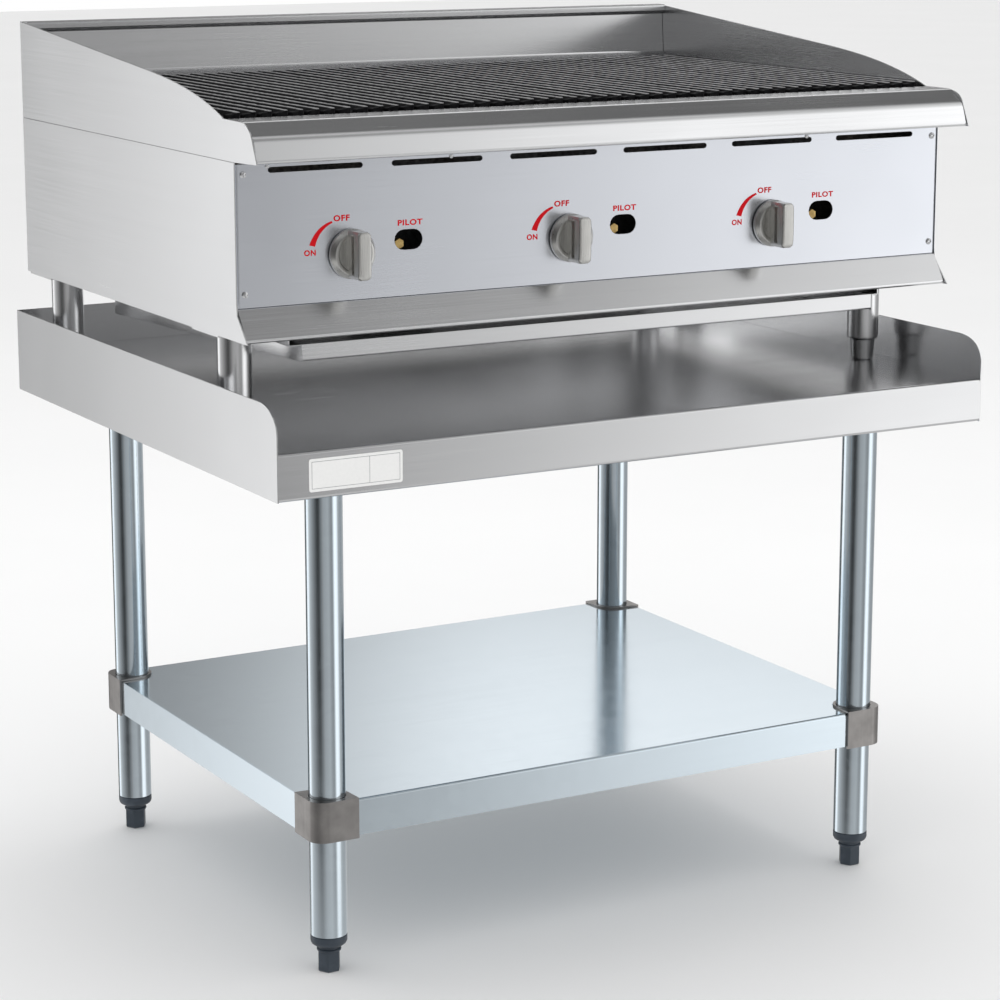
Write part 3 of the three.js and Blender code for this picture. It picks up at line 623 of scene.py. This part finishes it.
def piece(name, surface, material, stands_for=(), body=None, edge=EASED_EDGE, smooth=True):
    """A surface in millimetres becomes a piece of the visual model, riding on a CAD body."""
    bmesh.ops.recalc_face_normals(surface, faces=surface.faces[:])
    mesh = bpy.data.meshes.new(name)
    surface.to_mesh(mesh)
    surface.free()
    mesh.transform(Matrix.Scale(MM, 4))
    return shown_mesh(name, mesh, material, stands_for, body, edge, smooth)


def shown_mesh(name, mesh, material, stands_for, body, edge, smooth=True):
    """A mesh in metres becomes a piece, with its material and body, and hides the CAD nodes it stands
    for.
    """
    mesh.materials.clear()
    mesh.materials.append(materials[material])
    mesh.polygons.foreach_set("use_smooth", [smooth] * len(mesh.polygons))
    shown = bpy.data.objects.new(name, mesh)
    bpy.context.scene.collection.objects.link(shown)
    if smooth:
        mesh.set_sharp_from_angle(angle=math.radians(SHARP_ANGLE))
        soften(shown, edge)
    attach(shown, body or BODY_OF[stands_for[0]])
    if stands_for:
        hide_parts(*stands_for)
    return shown


def refined(node, material, edge=EASED_EDGE):
    """A copy of a CAD node with its flat faces merged and its edges softened."""
    mesh = frame["nodes"][node].data.copy()
    surface = bmesh.new()
    surface.from_mesh(mesh)
    bmesh.ops.remove_doubles(surface, verts=surface.verts, dist=1e-6)
    bmesh.ops.dissolve_limit(surface, angle_limit=math.radians(FLAT_ANGLE), use_dissolve_boundaries=False,
                             verts=surface.verts, edges=surface.edges)
    surface.to_mesh(mesh)
    surface.free()
    return shown_mesh(f"{node}_sheet", mesh, material, (node,), None, edge)


# ------------------------------------------------------------------ stand

def make_stand():
    # The deck's steel is darkened in colour: painted shade.
    refined("stand_top", "deck_painted_shade")
    refined("undershelf", "galvanised_sheet")
    for end in ("front", "back"):
        refined(f"hat_channel_{end}", "galvanised_sheet")
    for corner in CORNERS:
        refined(f"corner_clamp_{corner}", "clamp", edge=0.7)
        make_stand_leg(corner)
        make_bullet_foot(corner)


def centre_of(node):
    """The middle of a CAD node in plan."""
    low, high = box_mm(node)
    return (low.x + high.x) / 2, (low.y + high.y) / 2


def make_stand_leg(corner):
    """An open tube with broken rims."""
    node = f"stand_leg_{corner}"
    low, high = box_mm(node)
    rim = 0.5
    radius = (high.x - low.x) / 2
    bore = radius - SHEET
    section = [
        (bore, low.z), (radius - rim, low.z), (radius, low.z + rim),
        (radius, high.z - rim), (radius - rim, high.z), (bore, high.z),
    ]
    surface = bmesh.new()
    add_turned(surface, section, Matrix.Translation((*centre_of(node), 0)), sides=72, hollow=True)
    piece(f"{node}_tube", surface, "galvanised_tube", (node,), edge=0)


def make_bullet_foot(corner):
    """Domed collar under the tube, neck, flange, chamfered hexagon, and a plug up inside the tube."""
    node = f"bullet_foot_{corner}"
    low, high = box_mm(node)
    leg_low, leg_high = box_mm(f"stand_leg_{corner}")
    collar = (leg_high.x - leg_low.x) / 2
    collar_top = leg_low.z - 0.3
    collar_foot = collar_top - 12
    plug = collar - 2.1
    neck, flange = 11.8, 13.7
    flange_bottom, flange_top = low.z + 23.5, low.z + 26.5
    place = Matrix.Translation((*centre_of(node), 0))
    surface = bmesh.new()
    add_turned(surface, [
        (flange - 1.0, flange_bottom), (flange, flange_bottom + 0.6), (flange, flange_top - 0.6),
        (flange - 0.8, flange_top), (neck, flange_top + 0.3), (neck, collar_foot - 1.0),
        (neck + 1.8, collar_foot), (collar - 3.0, collar_foot + 0.8), (collar - 1.2, collar_foot + 2.2),
        (collar - 0.2, collar_foot + 4.4), (collar, collar_foot + 6.0), (collar, collar_top - 0.5),
        (collar - 0.5, collar_top), (plug, collar_top), (plug, high.z),
    ], place)
    hexagon, chamfer = 13.3, 1.4
    angles = [math.tau * i / 6 for i in range(6)]
    levels = [(hexagon - chamfer, low.z), (hexagon, low.z + chamfer), (hexagon, flange_bottom + 0.3)]
    add_loft(surface, [[place @ Vector((r * math.cos(a), r * math.sin(a), z)) for a in angles]
                       for r, z in levels])
    piece(f"{node}_moulding", surface, "plastic", (node,), edge=0.35)


# ------------------------------------------------------------------ cabinet

def make_cabinet():
    for side in SIDES:
        refined(f"{side}_side_panel", "steel_y")
        make_splash_guard(side)
    refined("back_panel", "steel_x")
    refined("cabinet_floor", "steel_x")
    refined("control_panel", "panel")
    refined("front_baffle", "dull")
    refined("rear_baffle", "dull")
    make_front_skirt()
    make_back_splash()
    make_front_rail()
    refined("drip_tray", "steel_x")


def shifted(point, along, up):
    return (point[0] + along, point[1] + up)


def make_splash_guard(side):
    """Slopes down from the back, sweeps down to the rail, and ends in the rail's bull nose."""
    node = f"{side}_splash_guard"
    low, high = box_mm(node)
    ledge = 948.7
    slope_end, sweep_end = (-69.0, 985.7), (-260.6, ledge)
    nose_start, nose_end = (-298.0, ledge), (-331.0, 934.0)
    outline = [(high.y, low.z), (high.y, high.z), slope_end]
    outline += bezier(slope_end, shifted(slope_end, -75, -7), shifted(sweep_end, 55, 20), sweep_end,
                      steps=28)
    outline += bezier(nose_start, shifted(nose_start, -16, 0), shifted(nose_end, 6, 10.2), nose_end,
                      steps=12)
    outline += [(low.y, low.z + 2), (panel_front(), low.z)]
    surface = bmesh.new()
    add_loft(surface, [[(x, y, z) for y, z in outline] for x in (low.x, high.x)])
    piece(f"{node}_sheet", surface, "steel_y", (node,))


def make_folded_sheet(node, corners, radii):
    """A stainless sheet folded along the (y, z) corners of its mid-line, as wide as its CAD node."""
    low, high = box_mm(node)
    surface = bmesh.new()
    add_sheet(surface, folded(corners, SHEET, radii), (low.x, high.x))
    piece(f"{node}_sheet", surface, "steel_x", (node,))


def make_front_skirt():
    """Level behind the panel's foot, flared down to the front, and turned back under."""
    low, high = box_mm("front_skirt")
    top, bottom = high.z - SHEET / 2, low.z + SHEET / 2
    shelf_depth, lip_depth = 18, 16
    make_folded_sheet("front_skirt", [
        (panel_front() + shelf_depth, top), (panel_front() + SHEET / 2, top),
        (low.y + SHEET, bottom), (low.y + lip_depth, bottom),
    ], (2.5, 2))


def make_back_splash():
    """Up the outside, over the folded top, down the inside and out again over the grates."""
    low, high = box_mm("back_splash_guard")
    outer, top = high.y - SHEET / 2, high.z - SHEET / 2
    fold = outer - 19
    wall_top, wall_foot = (outer - 12, top - 11), (outer - 16, 958)
    apron, apron_top, apron_foot = outer - 29, 948, low.z + 29
    make_folded_sheet("back_splash_guard", [
        (outer, low.z), (outer, top), (fold, top), (fold, top - 8), wall_top, wall_foot,
        (apron, apron_top), (apron, apron_foot),
    ], (2, 2, 1.5, 1.5, 5, 5))


def make_front_rail():
    """Flat ledge, rounded nose, sloped face and a lip turned back under it."""
    low, high = box_mm("front_rail")
    back, top, bottom = high.y - SHEET / 2, high.z - SHEET / 2, low.z + SHEET / 2
    back_foot, ledge_front, nose, lip_end = 928, -308, (-330.5, 933.5), -291
    make_folded_sheet("front_rail", [
        (back, back_foot), (back, top), (ledge_front, top), nose, (low.y + 1, bottom), (lip_end, bottom),
    ], (2, 8, 16, 2.5))


# ------------------------------------------------------------------ gas train

def make_gas_train():
    make_manifold()
    for unit in UNITS:
        refined(f"gas_valve_{unit}", "brass", edge=0.4)
        refined(f"pilot_valve_{unit}", "brass", edge=0.4)
        refined(f"burner_{unit}", "dull", edge=0)
        refined(f"radiant_{unit}", "dull")


def make_manifold():
    """The supply pipe: across behind the panel, back along the right side, threaded at its end."""
    low, high = box_mm("gas_manifold")
    radius, bore, collar = 10.65, 7.95, 13.65
    cap_length, fitting_length = 18, 24
    thread_length, pitch = 22, 2.2
    root = collar - 1.4
    run_y, run_z = low.y + collar, (low.z + high.z) / 2
    side_x = high.x - collar
    fitting = high.y - fitting_length
    thread = []
    for turn in range(int(thread_length / pitch)):
        start = fitting + 1 + turn * pitch
        thread += [(root, start), (collar, start + pitch / 2)]
    backwards = Matrix.Translation((side_x, 0, run_z)) @ Matrix.Rotation(-math.pi / 2, 4, "X")
    across = Matrix.Translation((0, run_y, run_z)) @ Matrix.Rotation(math.pi / 2, 4, "Y")
    surface = bmesh.new()
    add_turned(surface, [
        (bore, run_y - radius), (radius, run_y - radius), (radius, fitting), (root, fitting),
        *thread, (root, high.y), (bore, high.y),
    ], backwards, sides=48, hollow=True)
    add_turned(surface, [
        (collar, low.x), (collar, low.x + cap_length), (radius, low.x + cap_length + 1),
        (radius, side_x),
    ], across, sides=48)
    piece("gas_manifold_pipe", surface, "dull", ("gas_manifold",), edge=0)


# ------------------------------------------------------------------ knobs and panel marks

KNOB_PROUD = 33.0            # from the knob's back to the face of its grip
GRIP_HALF_LENGTH = 25.5
GRIP_HALF_WIDTH = 8.0
GRIP_FOOT = 5.0              # the grip starts inside the knob's disc
GRIP_ROUNDED_END = 4.0
GRIP_STATIONS = 44
GROOVE_DEPTH = 4.6
GROOVE_HALF_LENGTH = 20.5
GROOVE_RUNOUT = 1.6


def knob_centre(unit):
    """The middle of a knob's back."""
    low, high = box_mm(f"knob_{unit}")
    return Vector(((low.x + high.x) / 2, high.y, (low.z + high.z) / 2))


def on_front(centre):
    """Turns a piece drawn facing +Z, with its top towards +Y, to face the front at a centre."""
    return Matrix.Translation(centre) @ Matrix.Rotation(math.pi / 2, 4, "X")


def grip_section(v):
    """The grip's outline at height v along it: rounded corners, and a groove in each side."""
    end = max(0.0, (abs(v) - (GRIP_HALF_LENGTH - GRIP_ROUNDED_END)) / GRIP_ROUNDED_END)
    half_width = GRIP_HALF_WIDTH - 2.6 * end ** 2
    top = KNOB_PROUD - 1.1 * abs(v / GRIP_HALF_LENGTH) ** 3 - 1.2 * end ** 2
    reach = max(0.0, min(1.0, (GROOVE_HALF_LENGTH - abs(v - 0.5)) / GROOVE_RUNOUT))
    groove = GROOVE_DEPTH * math.sin(reach * math.pi / 2)
    floor, slope = half_width - groove, half_width - groove * 0.8
    right = [
        (half_width, GRIP_FOOT), (half_width, 15.6), (slope, 15.9), (floor, 16.7), (floor, 20.7),
        (slope, 21.5), (half_width, 21.8), (half_width, top - 2.4), (half_width - 0.35, top - 1.2),
        (half_width - 1.2, top - 0.35), (half_width - 2.6, top),
    ]
    left = [(-u, h) for u, h in reversed(right)]
    return [(u, v, h) for u, h in right + left]


def make_knob(unit):
    """A stepped disc with a dished face, and a grip across it."""
    node = f"knob_{unit}"
    place = on_front(knob_centre(unit))
    surface = bmesh.new()
    add_turned(surface, [
        (26.2, 0.0), (27.0, 0.6), (27.0, 3.6), (26.7, 4.4), (23.2, 8.0), (22.4, 8.5), (19.4, 8.5),
        (18.8, 8.2), (18.2, 7.5), (6.0, 7.4),
    ], place, sides=96)
    stations = [GRIP_HALF_LENGTH * (2 * i / GRIP_STATIONS - 1) for i in range(GRIP_STATIONS + 1)]
    add_loft(surface, [[place @ Vector(point) for point in grip_section(v)] for v in stations])
    piece(f"{node}_handle", surface, "knob", (node,), edge=0)


INK = 0.12                   # how proud the printing stands of the panel


def make_dial_arc(unit):
    """The red wedge from ON, thick, to OFF, thin."""
    centre = knob_centre(unit)
    first, last = 167.0, 122.0           # degrees round the knob
    inner_ends, outer_ends = (43.2, 40.0), (50.2, 42.2)
    bow, steps = 0.8, 28
    outside, inside = [], []
    for step in range(steps + 1):
        share = step / steps
        angle = math.radians(first + (last - first) * share)
        for (start, end), line in ((outer_ends, outside), (inner_ends, inside)):
            radius = start + (end - start) * share + bow * math.sin(share * math.pi)
            line.append((centre.x + radius * math.cos(angle), centre.z + radius * math.sin(angle)))
    surface = bmesh.new()
    add_loft(surface, [[(x, y, z) for x, z in outside + inside[::-1]]
                       for y in (panel_front(), panel_front() - INK)])
    piece(f"dial_arc_{unit}", surface, "red", body=FIXED_BODY, edge=0, smooth=False)


def make_word(name, word, centre_x, centre_z, width, height):
    """A printed word of a given width and height, as thin raised letters on the panel."""
    curve = bpy.data.curves.new(name, "FONT")
    curve.body = word
    curve.extrude = 0.05
    curve.offset = 0.036
    curve.space_character = 1.12
    drawn = bpy.data.objects.new(f"{name}_drawn", curve)
    bpy.context.scene.collection.objects.link(drawn)
    bpy.context.view_layer.update()
    mesh = bpy.data.meshes.new_from_object(drawn)
    bpy.data.objects.remove(drawn)
    low = Vector([min(v.co[k] for v in mesh.vertices) for k in range(3)])
    high = Vector([max(v.co[k] for v in mesh.vertices) for k in range(3)])
    size = high - low
    stretch = Matrix.Diagonal((width / size.x, height / size.y, INK / size.z, 1))
    to_middle = Matrix.Translation(-(low + high) / 2)
    place = on_front(Vector((centre_x, panel_front() - INK / 2, centre_z)))
    mesh.transform(Matrix.Scale(MM, 4) @ place @ stretch @ to_middle)
    shown_mesh(name, mesh, "red", (), FIXED_BODY, 0, smooth=False)


def make_panel_print(unit):
    """The dial's wedge and words round one knob, and the word over its pilot hole."""
    centre = knob_centre(unit)
    pilot_x = centre_of(f"pilot_valve_{unit}")[0] + 10
    make_dial_arc(unit)
    for word, x, z, width, height in (
            ("OFF", centre.x - 10.6, centre.z + 38.4, 19.0, 6.6),
            ("ON", centre.x - 48.2, centre.z + 3.4, 13.6, 6.4),
            ("PILOT", pilot_x, centre.z + 29.0, 30.0, 6.4)):
        make_word(f"word_{word.lower()}_{unit}", word, x, z, width, height)


def screw_height(u, v, rise):
    """Height of a pan head with a cross recess, where u and v run from -1 to 1 across it."""
    dome = rise * math.sqrt(max(0.0, 1 - min(1.0, math.hypot(u, v)) ** 2.6))
    half_slot, slot_reach, slot_depth = 0.16, 0.62, 0.6
    in_cross = min(abs(u), abs(v)) < half_slot and max(abs(u), abs(v)) < slot_reach
    return dome - (rise * slot_depth if in_cross else 0)


def make_screw(name, x, z, radius):
    """A screw head on the panel: a square grid of points drawn out to a disc."""
    half_count = 14
    sunk = 0.05
    rise = radius * 0.5
    place = on_front(Vector((x, panel_front() + sunk, z)))
    steps = [i / half_count for i in range(-half_count, half_count + 1)]
    surface = bmesh.new()
    rows = []
    for a in steps:
        disc = [(a * math.sqrt(1 - b * b / 2), b * math.sqrt(1 - a * a / 2)) for b in steps]
        rows.append([surface.verts.new(place @ Vector((u * radius, v * radius, screw_height(u, v, rise))))
                     for u, v in disc])
    for one, after in zip(rows, rows[1:]):
        for k in range(len(one) - 1):
            surface.faces.new((one[k], one[k + 1], after[k + 1], after[k]))
    rim = [row[0] for row in rows] + rows[-1][1:]
    rim += [row[-1] for row in rows[-2::-1]] + rows[0][-2:0:-1]
    surface.faces.new(rim)
    piece(name, surface, "steel_z", body=FIXED_BODY, edge=0)


def make_panel_details():
    for unit in UNITS:
        make_knob(unit)
        make_panel_print(unit)
    half_span = box_mm("control_panel")[1].x - 8.6
    for side, sign in SIDES.items():
        for level, z in (("upper", 892.0), ("lower", 766.0)):
            make_screw(f"panel_screw_{level}_{side}", sign * half_span, z, radius=3.9)
    for i, x in enumerate((-419.0, -201.0, 266.0)):
        make_screw(f"rail_screw_{i + 1}", x, 899.5, radius=2.6)


# ------------------------------------------------------------------ grates

BAR_COUNT, BAR_PITCH = 8, 18.5
BAR_STEP = 7.0               # distance between sections along a bar
BLOCK_LENGTH = 13.0          # a block joins the bars at each end of the grate
TIP_LENGTH, TIP_SCALE = 1.2, 0.85
ROUGHNESS = 0.42             # how far the casting's skin wanders
BAR_FOOT = -16.0


def rough(point, size, seed):
    """A small sideways shift that makes a casting's skin uneven."""
    here = Vector(point) / 9.0 + Vector((seed * 3.7, 0, seed))
    return Vector(point) + noise.noise_vector(here) * size


def bar_outline(block):
    """One bar from the end: a ridge on the right, a trough on the left; a block fills the trough."""
    ridge = [(6.2, -0.4), (6.9, -1.4), (5.0, BAR_FOOT), (-5.0, BAR_FOOT)]
    if block:
        return ridge + [(-6.8, -4.4), (-6.0, -3.4), (1.2, -2.8), (4.2, -0.4)]
    return ridge + [(-6.3, -8.4), (-5.4, -7.4), (1.6, -6.2), (4.4, -0.4)]


def bar_stations(front, back):
    """Where a bar's sections lie, from front to back, and whether each is in an end block."""
    first, last = front + BLOCK_LENGTH, back - BLOCK_LENGTH
    count = round((last - first) / BAR_STEP)
    blocked = [front, front + TIP_LENGTH, first - 2]
    open_bar = [first] + [first + (last - first) * i / count for i in range(1, count + 1)]
    blocked_back = [last + 2, back - TIP_LENGTH, back]
    return ([(y, True) for y in blocked] + [(y, False) for y in open_bar]
            + [(y, True) for y in blocked_back])


def make_grate(number):
    """Eight rough cast bars with a raised ridge each, on three ribs."""
    node = f"grate_{number}"
    low, high = box_mm(node)
    middle, front, back = (low.x + high.x) / 2, low.y, high.y
    bar_top = high.z - 0.5
    surface = bmesh.new()
    for bar in range(BAR_COUNT):
        x = middle + (bar - (BAR_COUNT - 1) / 2) * BAR_PITCH
        rings = []
        for y, block in bar_stations(front, back):
            tip = TIP_SCALE if y in (front, back) else 1.0
            ring = [(x + u * tip, y, bar_top + v * (1 if v == BAR_FOOT else tip))
                    for u, v in bar_outline(block)]
            rings.append([rough(point, ROUGHNESS, number) for point in ring])
        add_loft(surface, rings)
    rib_half_span, rib_half_width = (BAR_COUNT - 1) / 2 * BAR_PITCH + 4, 4.6
    for y in (front + 20, (front + back) / 2, back - 13):
        add_block(surface, (middle - rib_half_span, y - rib_half_width, low.z),
                  (middle + rib_half_span, y + rib_half_width, high.z - 14.5))
    piece(f"{node}_casting", surface, "iron", (node,), edge=0.5)


# ------------------------------------------------------------------ legs under the grill, label

def make_grill_leg(corner):
    """A tube with a rounded shoulder at its foot, under a mounting plate, and its screw-in foot."""
    node = f"grill_leg_{corner}"
    foot = f"grill_foot_{corner}"
    low, high = box_mm(node)
    foot_low, foot_high = box_mm(foot)
    place = Matrix.Translation((*centre_of(foot), 0))
    radius, plate_bottom = 19.05, high.z - 3.0
    bore = radius - SHEET
    rounding, steps = 2.8, 6
    shoulder = [(radius - rounding * (1 - math.sin(a)), low.z + rounding * (1 - math.cos(a)))
                for a in (math.pi / 2 * i / steps for i in range(steps + 1))]
    surface = bmesh.new()
    add_turned(surface, [
        (bore - 1.4, low.z), *shoulder, (radius, plate_bottom), (bore, plate_bottom),
        (bore, low.z + rounding),
    ], place, sides=72, hollow=True)
    add_block(surface, (low.x, low.y, plate_bottom), (high.x, high.y, high.z))
    piece(f"{node}_tube", surface, "steel_z", (node,))
    foot_surface = bmesh.new()
    add_turned(foot_surface, [
        (11.8, foot_low.z), (12.6, foot_low.z + 0.8), (13.4, foot_low.z + 2.4), (15.0, low.z - 2.2),
        (15.2, low.z - 1.2), (14.9, low.z - 0.6), (13.2, low.z + 0.2), (13.2, foot_high.z),
    ], place)
    piece(f"{foot}_turned", foot_surface, "steel_z", (foot,), edge=0)


def rounded_outline(x0, x1, z0, z1, radius, steps=6):
    points = []
    for cx, cz, start in ((x1 - radius, z1 - radius, 0), (x0 + radius, z1 - radius, 90),
                          (x0 + radius, z0 + radius, 180), (x1 - radius, z0 + radius, 270)):
        for step in range(steps + 1):
            angle = math.radians(start + 90 * step / steps)
            points.append((cx + radius * math.cos(angle), cz + radius * math.sin(angle)))
    return points


def make_label():
    """A blank rating label with a ruled frame on the apron's left."""
    apron_front = box_mm("stand_top")[0].y
    film, line_back, line_front = 0.15, 0.14, 0.22      # how proud of the apron
    x0, x1, z0, z1 = -421.0, -312.0, 570.0, 605.0
    surface = bmesh.new()
    add_loft(surface, [[(x, y, z) for x, z in rounded_outline(x0, x1, z0, z1, 2.5)]
                       for y in (apron_front, apron_front - film)])
    piece("blank_label", surface, "label", body=FIXED_BODY, edge=0, smooth=False)
    margin, width, column = 3.0, 0.5, 70
    left, right, bottom, top = x0 + margin, x1 - margin, z0 + margin, z1 - margin
    rules = [(left, right, z, z + width) for z in (bottom, top - width)]
    rules += [(x, x + width, bottom, top) for x in (left, right - width, x0 + column)]
    lines = bmesh.new()
    for rx0, rx1, rz0, rz1 in rules:
        add_block(lines, (rx0, apron_front - line_front, rz0), (rx1, apron_front - line_back, rz1))
    piece("blank_label_rules", lines, "label_line", body=FIXED_BODY, edge=0, smooth=False)


# ------------------------------------------------------------------ floor

def make_floor():
    """A plain pale floor that the metal doesn't mirror."""
    half = 20.0
    corners = [(-half, -half, 0), (half, -half, 0), (half, half, 0), (-half, half, 0)]
    mesh = bpy.data.meshes.new("floor")
    mesh.from_pydata(corners, [], [(0, 1, 2, 3)])
    mesh.materials.append(floor_paint())
    floor = bpy.data.objects.new("floor", mesh)
    bpy.context.scene.collection.objects.link(floor)
    floor.visible_glossy = False


make_camera()
make_world()
make_lights()
make_floor()
make_stand()
make_cabinet()
make_gas_train()
make_panel_details()
for number in GRATES:
    make_grate(number)
for corner in CORNERS:
    make_grill_leg(corner)
make_label()
bpy.context.scene.view_settings.view_transform = "Standard"
